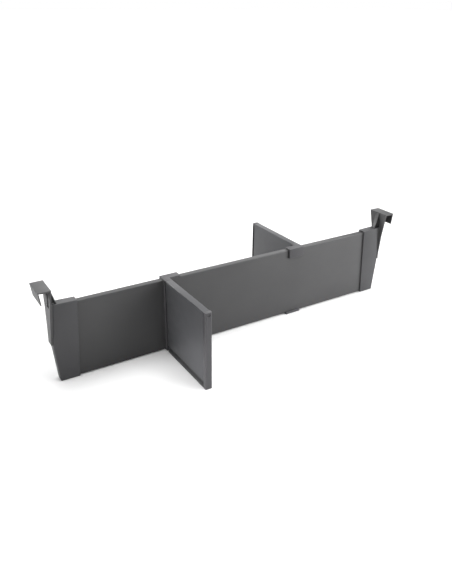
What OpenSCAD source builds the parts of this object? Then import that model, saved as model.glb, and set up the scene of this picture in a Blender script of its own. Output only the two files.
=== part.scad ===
// Adjustable drawer partition: a long hollow panel hangs between a drawer's two sides
// on over-the-rail hooks, and two cross dividers clip onto it, one on each side.
// X runs along the long panel, Y across it (front is -Y), Z up from the drawer floor.
// The origin is on the floor, under the middle of the whole partition.

/* [Long panel] */
// Thickness of the long panel
panel_t = 8.2; // [7:0.1:9]
// Height of the long panel's top edge above the drawer floor
panel_top = 100; // [95:1:100]
// Gap between the drawer floor and the panel's bottom edge
panel_lift = 1.3; // [1.3:0.1:2]
// Length of the long panel
panel_len = 488; // [440:1:900]
// Wall of the hollow panel
panel_wall = 1.1; // [0.9:0.1:1.4]

/* [End caps] */
// Wall of the sleeve that wraps the panel's end
cap_wall = 1.6; // [1.4:0.1:2]
// Height of the cap's top edge at its inner end
cap_top = 102; // [102:0.5:104]
// Length of the cap along its top edge
cap_len_top = 28; // [26:0.5:34]
// Length of the cap along its bottom edge
cap_len_bottom = 23.5; // [22:0.5:30]
// How far the cap's end stands past the panel's end, at the top edge
cap_end_top = 5.4; // [5.2:0.1:6]
// How far it stands past the panel's end at the knee
cap_end_knee = 11.4; // [11:0.1:12]
// How far it stands past the panel's end at the floor
cap_end_bottom = 7.2; // [6:0.1:9]
// Height of the knee, below which the cap's end slants inwards
knee_z = 50.5; // [46:0.5:52]

/* [Hooks] */
// Width of the hook, across the panel
hook_w = 32; // [26:0.5:40]
// Height of the hook's top face above the drawer floor
hook_top = 125.8; // [122:0.1:140]
// Length of the hook's top plate, from the tongue to outside the lip
hook_len = 15.6; // [14:0.1:20]
// Thickness of the top plate
plate_t = 1.6; // [1.4:0.1:2.4]
// Height of the lip that drops outside the drawer side
lip_h = 15.8; // [12:0.1:18]
// Thickness of the lip
lip_t = 1.5; // [1.3:0.1:2]
// Angle at which the lip leans in to grip the drawer side
lip_lean = 7; // [0:0.5:9]
// Thickness of the tongue that lies inside the drawer side
tongue_t = 2; // [1.8:0.1:2.6]
// Width of the tongue at its lower tip
tip_w = 11.6; // [10:0.1:14]
// Angle at which the tongue leans outwards as it drops
hook_lean = 2.9; // [2.6:0.1:3.2]
// Width of the gusset between the tongue and the cap's top
gusset_w = 6.6; // [6:0.2:9]

/* [Cross dividers] */
// Thickness of a cross divider
div_t = 9; // [8:0.1:10]
// Reach of a cross divider from the middle of the long panel
div_reach = 109.8; // [80:0.2:180]
// Place of the front divider along the long panel
front_x = -107; // [-120:1:-90]
// Place of the back divider along the long panel
back_x = 102.5; // [90:0.5:120]
// Width of the clip that hooks over the long panel
clip_w = 24.5; // [20:0.5:28]
// Thickness of the clip's tab on the panel's far face
tab_t = 2.6; // [2.2:0.1:3]
// Height of the tab, measured from the clip's top
tab_h = 13.5; // [11:0.5:20]
// Depth of the clip's upright on the near face
upright_d = 4.2; // [3.6:0.1:5]
// Depth of the narrow neck between the upright and the board
neck_d = 3.4; // [3:0.1:5]
// Depth of the post that closes the divider's outer end
post_d = 5.4; // [5:0.1:7]
// Height of the rail along the divider's foot
foot_h = 9.6; // [8:0.1:11]

/* [Hidden] */
$fn = 48;

gap = 0.1;                 // running gap between pieces that slide on each other
play = 0.25;               // gap between the hook and the cap's end and top
far = 400;                 // longer than any cut
half_len = panel_len / 2;
cap_t = panel_t + 2 * (cap_wall + gap);
cap_rise = 0.8;            // the cap's top edge rises this much towards its outer end
cap_heel = 0.5;            // and its bottom edge this much
cavity_end = half_len + gap;

board_top = cap_top;       // the cross dividers stand as high as the caps
board_wall = 1.2;
board_near = panel_t / 2 + gap + upright_d + neck_d;   // where the board meets the clip's neck
board_far = div_reach - post_d;                // where it meets the post
board_len = board_far - board_near;

anthracite = [0.17, 0.17, 0.175];
anthracite_matt = [0.14, 0.14, 0.145];
soft_black = [0.07, 0.07, 0.07];

// ---------- shared shapes ----------

// Rectangle with round corners, centred on X, standing on y = 0
module round_rect(w, h, r) {
    translate([-w / 2 + r, 0]) square([w - 2 * r, h]);
    translate([-w / 2, r]) square([w, h - 2 * r]);
    for (x = [-w / 2 + r, w / 2 - r], y = [r, h - r]) translate([x, y]) circle(r);
}

// Section of a hollow board: round outside, with square chambers between cross webs
module hollow_section(w, h, wall, chambers) {
    pitch = (h - wall) / chambers;
    difference() {
        round_rect(w, h, 0.9);
        for (i = [0 : chambers - 1])
            translate([-w / 2 + wall, wall + i * pitch]) square([w - 2 * wall, pitch - wall]);
    }
}

// Extrudes an outline drawn in X and Z by t across the panel, centred on Y = 0
module across(t) { rotate([90, 0, 0]) linear_extrude(t, center = true) children(); }

// Extrudes an outline drawn in Y and Z along X, from x = 0
module along(length) { rotate([90, 0, 90]) linear_extrude(length) children(); }

// Places a cross divider drawn at x = 0, reaching to -Y: as it is, or turned to the back
module at_front() { translate([front_x, 0, 0]) children(); }
module at_back() { translate([back_x, 0, 0]) rotate([0, 0, 180]) children(); }

// ---------- long panel ----------

module long_panel() {
    color(anthracite)
    translate([-half_len, 0, panel_lift])
        along(panel_len) hollow_section(panel_t, panel_top - panel_lift, panel_wall, 4);
}

// ---------- hook, right-hand end ----------

// The tongue's inner face: x at height z, and the same face moved out by d
function tongue_x(z, d = 0) = half_len + 8.9 + d + (cap_top - z) * tan(hook_lean);
// The cap's upper end face: x at height z
function cap_end_x(z) = half_len + cap_end_top
    + (cap_end_knee - cap_end_top) * (cap_top + cap_rise - z) / (cap_top + cap_rise - knee_z);

key_x = -5.4;              // the key's neck ends here, measured from the tongue
key_t = 1.9;               // thickness of the key's head
key_w = 8;                 // width of the key's head
neck_w = 4.8;              // width of the key's neck
key_low = 58.5;
key_high = 101.5;
key_play = 0.2;
base_z = cap_top + cap_rise + play;            // the gusset stands on the cap's top
gusset_len = 8.2;
waist_z = 92;              // the tongue tapers more slowly below this height
waist_w = 19.6;
shoulder_z = 58.5;         // and has narrowed to its tip width here
tip_z = knee_z + 1;

// Outline in X and Z of a strip that follows the tongue, from height z0 to z1
module leaning_strip(z0, z1, d0, d1)
    polygon([[tongue_x(z0, d0), z0], [tongue_x(z0, d1), z0],
             [tongue_x(z1, d1), z1], [tongue_x(z1, d0), z1]]);

// Outline of the tongue in Y and Z: hook width at the top, cap width at the tip
module tongue_front()
    polygon([[-hook_w / 2, hook_top], [-hook_w / 2, hook_top - plate_t],
             [-waist_w / 2, waist_z], [-tip_w / 2, shoulder_z],
             [-tip_w / 2, tip_z], [tip_w / 2, tip_z],
             [tip_w / 2, shoulder_z], [waist_w / 2, waist_z],
             [hook_w / 2, hook_top - plate_t], [hook_w / 2, hook_top]]);

module hook_plate_and_lip() {
    x0 = tongue_x(hook_top);
    x1 = x0 + hook_len;
    shift = lip_h * tan(lip_lean);
    low = hook_top - plate_t;
    seat = [11.7, 19.1, 0.4];        // raised seat that rests on the drawer side: where it
    slope = 0.9;                     // starts and ends past the panel's end, and its height
    across(hook_w) {
        polygon([[tongue_x(hook_top, 1), hook_top], [tongue_x(low, 1), low],
                 [half_len + seat[0] - slope, low], [half_len + seat[0], low - seat[2]],
                 [half_len + seat[1], low - seat[2]], [half_len + seat[1] + slope, low],
                 [x1 - lip_t, low], [x1 - lip_t, hook_top]]);
        polygon([[x1, hook_top], [x1 - lip_t, hook_top],
                 [x1 - lip_t - shift, hook_top - lip_h], [x1 - shift, hook_top - lip_h]]);
    }
}

module tongue() {
    slot = [16.4, 1.5, 3.6];          // width, depth and height of the slot below the bump
    outline = [0.8, 0.8];            // width and depth of the groove around the bump
    difference() {
        intersection() {
            across(hook_w) leaning_strip(tip_z, hook_top, 0, tongue_t);
            along(far) tongue_front();
        }
        across(slot[0])
            leaning_strip(bump_low - slot[2], bump_low, tongue_t - slot[1], tongue_t + 1);
        intersection() {
            along(far) arch(bump_low - 1, outline[0]);
            across(hook_w)
                leaning_strip(bump_low - 1, hook_top - plate_t, tongue_t - outline[1], tongue_t + 1);
        }
    }
    bump(bump_low);
}

bump_w = 13.2;
bump_h = 17;
bump_low = 104;

// The bump's outline in Y and Z, an arch that stands on height low, grown by d
module arch(low, d = 0) {
    r = bump_w / 2;
    translate([0, bump_low + bump_h - r]) circle(r + d);
    translate([-r - d, low]) square([2 * (r + d), bump_low + bump_h - r - low]);
}

// Grip bump on the tongue's outer face: an arch flush at its top, proud at its lower edge
module bump(low) {
    proud = 1.4;
    intersection() {
        along(far) arch(low);
        across(hook_w)
            polygon([[tongue_x(low, 0.8), low], [tongue_x(low, tongue_t + proud), low],
                     [tongue_x(low + 5, tongue_t + proud * 0.9), low + 5],
                     [tongue_x(low + bump_h, tongue_t), low + bump_h],
                     [tongue_x(low + bump_h, 0.8), low + bump_h]]);
    }
}

// Spine below the cap's top, and above it a gusset with a pocket on both sides
module spine() {
    across(tip_w)
        polygon([[cap_end_x(key_low) + play, key_low], [tongue_x(key_low, 0.1), key_low],
                 [tongue_x(base_z, 0.1), base_z], [cap_end_x(base_z) + play, base_z]]);
    difference() {
        across(gusset_w) gusset(base_z, gusset_top, 0, 0.5);
        for (side = [-1, 1])
            translate([0, side * (gusset_w + web) / 2, 0])
                across(gusset_w) gusset(base_z - 0.1, gusset_top - 4.4, flange, 1);
    }
}

gusset_top = hook_top - plate_t;
gusset_tip = 0.8;          // how far the gusset still stands out at its top
flange = 1.45;             // thickness of its sloping face, and of the web that carries it
web = 1.7;

// Outline of the gusset in X and Z between two heights, with the sloping face moved in by d,
// sunk into the tongue
module gusset(z0, z1, d, sunk) {
    function out(z) = gusset_len + (gusset_tip - gusset_len) * (z - base_z) / (gusset_top - base_z) - d;
    polygon([[tongue_x(z0) - out(z0), z0], [tongue_x(z0, sunk), z0],
             [tongue_x(z1, sunk), z1], [tongue_x(z1) - out(z1), z1]]);
}

// T-shaped key that runs in the cap's end
module key() {
    across(neck_w) leaning_strip(key_low, key_high, key_x - 0.01, -0.5);
    across(key_w) leaning_strip(key_low, key_high, key_x - key_t, key_x);
}

module hook() {
    color(anthracite) {
        hook_plate_and_lip();
        tongue();
        spine();
        key();
    }
}

// ---------- end cap, right-hand end ----------

module cap_outline()
    polygon([[half_len + cap_end_top - cap_len_top, cap_top],
             [half_len + cap_end_top, cap_top + cap_rise],
             [half_len + cap_end_knee, knee_z],
             [half_len + cap_end_bottom, cap_heel],
             [half_len + cap_end_bottom - cap_len_bottom, 0]]);

module cap() {
    color(anthracite)
    difference() {
        across(cap_t) cap_outline();
        // sleeve over the panel's end
        translate([0, -panel_t / 2 - gap, panel_lift - gap])
            cube([cavity_end, panel_t + 2 * gap, panel_top - panel_lift + 2 * gap]);
        // T-shaped slot for the hook's key, open at the top
        across(neck_w + 2 * key_play)
            leaning_strip(key_low - 1, cap_top + 3, key_x - 0.05, 3);
        across(key_w + 2 * key_play)
            leaning_strip(key_low - 1, cap_top + 3, key_x - key_t - key_play, key_x + key_play);
    }
}

// ---------- cross divider ----------

// C-shaped clip: upright on the near face, saddle over the top, tab down the far face,
// and a foot that reaches under the panel and turns up behind it
module clip() {
    near = panel_t / 2 + gap;
    foot_t = panel_lift - gap;
    toe_h = 3;
    pad = [clip_w - 6, 0.9, 7];
    left = -div_t / 2;
    neck_inset = 2.5;
    color(anthracite)
    difference() {
        union() {
            translate([left, -near - upright_d, 0]) cube([div_t, upright_d, board_top]);
            // narrow neck, with a full-width cover at the top
            translate([left + neck_inset, -board_near, 0])
                cube([div_t - 2 * neck_inset, neck_d + 1, board_top - 1]);
            translate([left, -board_near, board_top - 2]) cube([div_t, neck_d + 1, 2]);
            translate([left, -near, panel_top + gap])
                cube([clip_w, 2 * near + tab_t, board_top - panel_top - gap]);
            translate([left, near, board_top - tab_h]) cube([clip_w, tab_t, tab_h]);
            translate([left, -near, 0]) cube([clip_w, 2 * near + tab_t, foot_t]);
            translate([left, near, 0]) cube([clip_w, tab_t, toe_h]);
        }
        // seat of the grip pad
        translate([left + 3, near - gap, board_top - tab_h + 2]) cube([pad[0], gap + pad[1], pad[2]]);
    }
}

// Soft pad in the clip's tab that keeps the divider where it is put
module grip_pad() {
    near = panel_t / 2 + gap;
    color(soft_black)
    translate([-div_t / 2 + 3, near, board_top - tab_h + 2]) cube([clip_w - 6, 0.9, 7]);
}

// Hollow board between the clip and the post; a slot in its underside holds the foot rail
module board() {
    color(anthracite)
    difference() {
        translate([0, -board_near, foot_h]) rotate([90, 0, 0])
            linear_extrude(board_len) hollow_section(div_t, board_top - foot_h, board_wall, 4);
        translate([-1.5, -board_far - 1, foot_h - 1]) cube([3, board_len + 2, board_wall + 1.5]);
    }
}

// Rail along the foot, waisted on both sides, with a key that pushes up into the board
module foot_rail() {
    waist = 2.4;
    lip = 3;
    half = div_t / 2;
    color(anthracite_matt)
    translate([0, -board_near, 0]) rotate([90, 0, 0]) linear_extrude(board_len)
        polygon([[-half + 0.4, 0], [half - 0.4, 0], [half, 0.5], [half, lip],
                 [half - waist, lip + 1.5], [half - waist, foot_h - 2.2], [half - 0.5, foot_h],
                 [1.4, foot_h], [1.4, foot_h + board_wall + 0.1],
                 [2.2, foot_h + board_wall + 0.1], [1.8, foot_h + board_wall + 1.6],
                 [-1.8, foot_h + board_wall + 1.6], [-2.2, foot_h + board_wall + 0.1],
                 [-1.4, foot_h + board_wall + 0.1], [-1.4, foot_h],
                 [-half + 0.5, foot_h], [-half + waist, foot_h - 2.2],
                 [-half + waist, lip + 1.5], [-half, lip], [-half, 0.5]]);
}

// Post with round outer corners that closes the board's outer end. A groove runs up the
// side the clip stands out on, and the outer face has a small recess near the top.
module post() {
    corner = 1.6;
    groove = [2.1, 4.1, 98.5];       // depth, width and height of the groove
    recess = [4.6, 0.8, 3.2];        // width, depth and height of the recess
    color(anthracite)
    difference() {
        linear_extrude(board_top) {
            translate([-div_t / 2, -div_reach + corner]) square([div_t, post_d - corner]);
            translate([-div_t / 2 + corner, -div_reach])
                square([div_t - 2 * corner, corner + 0.01]);
            for (x = [-div_t / 2 + corner, div_t / 2 - corner])
                translate([x, -div_reach + corner]) circle(corner);
        }
        translate([div_t / 2 - groove[0], -board_far - groove[1] - 0.5, -1])
            cube([groove[0] + 1, groove[1], groove[2] + 1]);
        translate([0, -div_reach - 1, board_top - 2])
            rotate([-90, 0, 0]) linear_extrude(1 + recess[1])
                round_rect(recess[0], recess[2], 1.2);
    }
}

long_panel();
mirror([1, 0, 0]) cap();  // end_cap_left
cap();  // end_cap_right
mirror([1, 0, 0]) hook();  // hook_left
hook();  // hook_right
at_front() clip();  // front_clip
at_front() grip_pad();  // front_grip_pad
at_front() board();  // front_board
at_front() foot_rail();  // front_foot_rail
at_front() post();  // front_post
at_back() clip();  // back_clip
at_back() grip_pad();  // back_grip_pad
at_back() board();  // back_board
at_back() foot_rail();  // back_foot_rail
at_back() post();  // back_post
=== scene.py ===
"""Looks of the adjustable drawer partition: bevelled mouldings in anthracite plastic on a pale floor."""
import math

import bpy
from mathutils import Matrix, Vector

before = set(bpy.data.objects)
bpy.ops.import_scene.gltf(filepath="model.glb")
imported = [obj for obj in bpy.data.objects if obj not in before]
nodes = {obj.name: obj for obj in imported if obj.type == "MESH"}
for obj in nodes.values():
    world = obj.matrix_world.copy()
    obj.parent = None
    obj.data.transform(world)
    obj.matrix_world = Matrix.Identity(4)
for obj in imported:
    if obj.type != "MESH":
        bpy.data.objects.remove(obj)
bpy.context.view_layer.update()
MM = 0.001


# ---------- edges ----------

SAME_POINT = 1e-6                  # metres between points that are one
FLAT_ENOUGH = math.radians(0.5)    # between triangles of one face
SHARP = math.radians(30)           # between faces whose edge is rounded


def soften(name, width_mm, clamp=True):
    """Joins the node's split faces, then rounds its sharp edges."""
    obj = nodes[name]
    weld = obj.modifiers.new("join", "WELD")
    weld.merge_threshold = SAME_POINT
    flat = obj.modifiers.new("faces", "DECIMATE")
    flat.decimate_type = "DISSOLVE"
    flat.angle_limit = FLAT_ENOUGH
    bevel = obj.modifiers.new("round", "BEVEL")
    bevel.width = width_mm * MM
    bevel.segments = 3
    bevel.limit_method = "ANGLE"
    bevel.angle_limit = SHARP
    bevel.use_clamp_overlap = clamp
    bevel.harden_normals = True
    for poly in obj.data.polygons:
        poly.use_smooth = True


# ---------- materials ----------

def link(tree, source, target):
    tree.links.new(source, target)


def add(tree, kind, **values):
    """Adds a node, and sets its sockets by name or its properties."""
    node = tree.nodes.new(kind)
    for key, value in values.items():
        if key in node.inputs:
            node.inputs[key].default_value = value
        else:
            setattr(node, key, value)
    return node


def noise(tree, coords, scale, detail, stretch=(1, 1, 1)):
    place = add(tree, "ShaderNodeMapping")
    place.inputs["Scale"].default_value = stretch
    link(tree, coords, place.inputs["Vector"])
    tex = add(tree, "ShaderNodeTexNoise", Scale=scale, Detail=detail)
    link(tree, place.outputs["Vector"], tex.inputs["Vector"])
    return tex.outputs["Fac"]


def remap(tree, value, low, high, to_low, to_high):
    node = add(tree, "ShaderNodeMapRange")
    limits = {"From Min": low, "From Max": high, "To Min": to_low, "To Max": to_high}
    for socket, number in limits.items():
        node.inputs[socket].default_value = number
    link(tree, value, node.inputs["Value"])
    return node.outputs["Result"]


def mix(tree, factor, a, b):
    """Mixes two colours, each given as a socket or as three numbers."""
    node = add(tree, "ShaderNodeMix", data_type="RGBA")
    link(tree, factor, node.inputs[0])
    for socket, colour in ((node.inputs[6], a), (node.inputs[7], b)):
        if isinstance(colour, tuple):
            socket.default_value = (*colour, 1)
        else:
            link(tree, colour, socket)
    return node.outputs[2]


def shade(colour, factor):
    return tuple(min(1.0, c * factor) for c in colour)


def bumped(tree, height, strength, depth, under=None):
    """Bump from a height map, on top of another bump's normal if one is given."""
    node = add(tree, "ShaderNodeBump", Strength=strength, Distance=depth)
    link(tree, height, node.inputs["Height"])
    if under is not None:
        link(tree, under, node.inputs["Normal"])
    return node.outputs["Normal"]


# Noise scales, in cells per metre
CLOUDS, PATCHES, SPECKS, GRAIN, STREAKS, PEBBLES = 14, 70, 1500, 2600, 900, 1000
CLOUDINESS = 0.07                  # how far the colour drifts either way
SPECK_SHADE = 1.25
EDGE_REACH = 0.5 * MM              # how far from an edge the wear shows
WEAR = 1.5                         # worn edges against the colour
LINE_LENGTH = 100                  # of a drawn line against its width
LINE_SHARE = 0.55                  # of the lines in the height map, the rest being grain
GRAIN_DEPTH, PEBBLE_DEPTH = 0.06 * MM, 0.12 * MM
PLASTIC_IOR = 1.49


def plastic(name, colour, roughness, grain, lines=None, wear=WEAR, pebbles=0.0):
    """Plastic with moulded grain, or with fine drawn lines along one axis, cloudy colour, worn edges."""
    mat = bpy.data.materials.new(name)
    mat.use_nodes = True
    tree = mat.node_tree
    tree.nodes.clear()
    out = add(tree, "ShaderNodeOutputMaterial")
    shader = add(tree, "ShaderNodeBsdfPrincipled")
    link(tree, shader.outputs["BSDF"], out.inputs["Surface"])
    coords = add(tree, "ShaderNodeTexCoord").outputs["Object"]

    clouds = noise(tree, coords, CLOUDS, 4)
    patches = noise(tree, coords, PATCHES, 3)
    tone = mix(tree, remap(tree, clouds, 0.3, 0.7, 0, 1),
               shade(colour, 1 - CLOUDINESS), shade(colour, 1 + CLOUDINESS))
    specks = noise(tree, coords, SPECKS, 2)
    tone = mix(tree, remap(tree, specks, 0.52, 0.75, 0, 0.35), tone, shade(colour, SPECK_SHADE))

    # edge mask: where the rounded normal departs from the face normal, broken up by the patches
    rounded = add(tree, "ShaderNodeBevel", samples=6, Radius=EDGE_REACH)
    flat = add(tree, "ShaderNodeNewGeometry")
    dot = add(tree, "ShaderNodeVectorMath", operation="DOT_PRODUCT")
    link(tree, rounded.outputs["Normal"], dot.inputs[0])
    link(tree, flat.outputs["Normal"], dot.inputs[1])
    edge = remap(tree, dot.outputs["Value"], 0.995, 0.86, 0, 0.5)
    broken = add(tree, "ShaderNodeMath", operation="MULTIPLY")
    link(tree, edge, broken.inputs[0])
    link(tree, remap(tree, patches, 0.35, 0.65, 0.35, 1), broken.inputs[1])
    tone = mix(tree, broken.outputs[0], tone, shade(colour, wear))
    link(tree, tone, shader.inputs["Base Color"])

    height = noise(tree, coords, GRAIN, 2)
    if lines is not None:
        stretch = [1.0, 1.0, 1.0]
        stretch[lines] = 1 / LINE_LENGTH
        streaks = noise(tree, coords, STREAKS, 2, stretch)
        blend = add(tree, "ShaderNodeMix", data_type="FLOAT")
        blend.inputs[0].default_value = LINE_SHARE
        link(tree, height, blend.inputs[2])
        link(tree, streaks, blend.inputs[3])
        height = blend.outputs[0]
    smear = remap(tree, patches, 0.3, 0.7, roughness - 0.05, roughness + 0.06)
    link(tree, smear, shader.inputs["Roughness"])
    normal = bumped(tree, height, grain, GRAIN_DEPTH)
    if pebbles:
        normal = bumped(tree, noise(tree, coords, PEBBLES, 1), pebbles, PEBBLE_DEPTH, normal)
    link(tree, normal, shader.inputs["Normal"])
    shader.inputs["IOR"].default_value = PLASTIC_IOR
    return mat


def dress(name, mat):
    obj = nodes[name]
    obj.data.materials.clear()
    obj.data.materials.append(mat)


X, Y = 0, 1
ANTHRACITE = (0.08, 0.08, 0.0815)
panel_plastic = plastic("panel_extrusion", ANTHRACITE, 0.37, 0.3, lines=X)
board_plastic = plastic("board_extrusion", (0.078, 0.079, 0.084), 0.36, 0.3, lines=Y)
cap_plastic = plastic("cap_moulding", (0.078, 0.078, 0.082), 0.36, 0.45)
hook_plastic = plastic("hook_moulding", shade(ANTHRACITE, 1.02), 0.38, 0.45, pebbles=0.5)
clip_plastic = plastic("clip_moulding", (0.077, 0.0755, 0.081), 0.36, 0.45)
rail_plastic = plastic("rail_extrusion", (0.05, 0.05, 0.0515), 0.55, 0.3, lines=Y)
pad_rubber = plastic("pad_rubber", (0.02, 0.02, 0.02), 0.8, 0.6, wear=1.2)

soften("long_panel", 0.45)
dress("long_panel", panel_plastic)
for side in ("left", "right"):
    soften(f"end_cap_{side}", 0.5)
    dress(f"end_cap_{side}", cap_plastic)
    soften(f"hook_{side}", 0.3, clamp=False)
    dress(f"hook_{side}", hook_plastic)
for place in ("front", "back"):
    soften(f"{place}_clip", 0.5)
    dress(f"{place}_clip", clip_plastic)
    soften(f"{place}_grip_pad", 0.2)
    dress(f"{place}_grip_pad", pad_rubber)
    soften(f"{place}_board", 0.3)
    dress(f"{place}_board", board_plastic)
    soften(f"{place}_foot_rail", 0.2)
    dress(f"{place}_foot_rail", rail_plastic)
    soften(f"{place}_post", 0.5)
    dress(f"{place}_post", clip_plastic)


# ---------- stage, light and camera ----------

FLOOR_REACH = 20
FLOOR_DROP = 0.05 * MM             # keeps the floor just clear of the feet


def floor(white, bounce):
    """A white sweep that gives back less light than it shows, as a bright backdrop does in a dim room."""
    mesh = bpy.data.meshes.new("floor")
    corners = [(x * FLOOR_REACH, y * FLOOR_REACH, -FLOOR_DROP)
               for x, y in ((-1, -1), (1, -1), (1, 1), (-1, 1))]
    mesh.from_pydata(corners, [], [(0, 1, 2, 3)])
    obj = bpy.data.objects.new("floor", mesh)
    bpy.context.scene.collection.objects.link(obj)
    mat = bpy.data.materials.new("pale_floor")
    mat.use_nodes = True
    tree = mat.node_tree
    shader = tree.nodes["Principled BSDF"]
    shader.inputs["Roughness"].default_value = 0.9
    seen = add(tree, "ShaderNodeLightPath").outputs["Is Camera Ray"]
    colour = mix(tree, seen, (bounce, bounce, bounce), (white, white, white))
    link(tree, colour, shader.inputs["Base Color"])
    mesh.materials.append(mat)


def white_background():
    """White behind the stage, which doesn't light the object."""
    world = bpy.data.worlds.new("studio")
    bpy.context.scene.world = world
    world.use_nodes = True
    tree = world.node_tree
    tree.nodes.clear()
    out = add(tree, "ShaderNodeOutputWorld")
    white = add(tree, "ShaderNodeBackground", Color=(1, 1, 1, 1))
    seen = add(tree, "ShaderNodeLightPath").outputs["Is Camera Ray"]
    link(tree, seen, white.inputs["Strength"])
    link(tree, white.outputs[0], out.inputs["Surface"])


def hang(light, direction):
    """Puts a light in the scene, shining in the direction given."""
    obj = bpy.data.objects.new(light.name, light)
    bpy.context.scene.collection.objects.link(obj)
    obj.rotation_euler = Vector(direction).to_track_quat("-Z", "Y").to_euler()
    return obj


def sun(name, direction, strength, angle):
    """A very wide sun, so that its light and shade are as soft as a large overhead softbox's."""
    light = bpy.data.lights.new(name, "SUN")
    light.energy = strength
    light.angle = math.radians(angle)
    hang(light, direction)


def softbox(name, place, target, size, watts, spread=180):
    """A rectangular lamp at a place, aimed at a target."""
    light = bpy.data.lights.new(name, "AREA")
    light.shape = "RECTANGLE"
    light.size, light.size_y = size
    light.energy = watts
    light.spread = math.radians(spread)
    obj = hang(light, Vector(target) - Vector(place))
    obj.location = place
    obj.visible_camera = False


floor(white=1.0, bounce=0.5)
white_background()
sun("overhead", (-0.1, 0, -1), 2.4, 50)
sun("left", (1, 0, -1), 0.75, 50)
sun("right_low", (-1, 0.3, -0.35), 1.5, 40)
sun("back", (-0.3, -0.9, -0.5), 1.05, 62)
softbox("front_right", (0.75, -0.75, 0.45), (0.15, 0, 0.05), (1.0, 1.0), 10)
softbox("left_card", (-0.42, 0.01, 0.03), (-0.2555, 0, 0.1), (0.12, 0.06), 0.055, 50)
softbox("low_left", (-0.45, -0.22, 0.05), (-0.107, -0.10, 0.01), (0.1, 0.06), 0.045, 28)
softbox("back_left", (-0.25, 0.35, 0.15), (0.1, 0.06, 0.06), (0.15, 0.15), 0.25, 90)

AZIMUTH, ELEVATION, ROLL = math.radians(-31.57), math.radians(26.29), math.radians(0.52)
STATION = (-0.3960, -0.6130, 0.4147)
data = bpy.data.cameras.new("camera")
data.sensor_width = 36
data.lens = 36.74
data.shift_x = 0.0025
data.clip_start, data.clip_end = 0.01, 100
camera = bpy.data.objects.new("camera", data)
bpy.context.scene.collection.objects.link(camera)
turn = (Matrix.Rotation(AZIMUTH, 4, "Z") @ Matrix.Rotation(math.pi / 2 - ELEVATION, 4, "X")
        @ Matrix.Rotation(ROLL, 4, "Z"))
camera.matrix_world = Matrix.Translation(STATION) @ turn
bpy.context.scene.camera = camera
bpy.context.scene.view_settings.view_transform = "Standard"
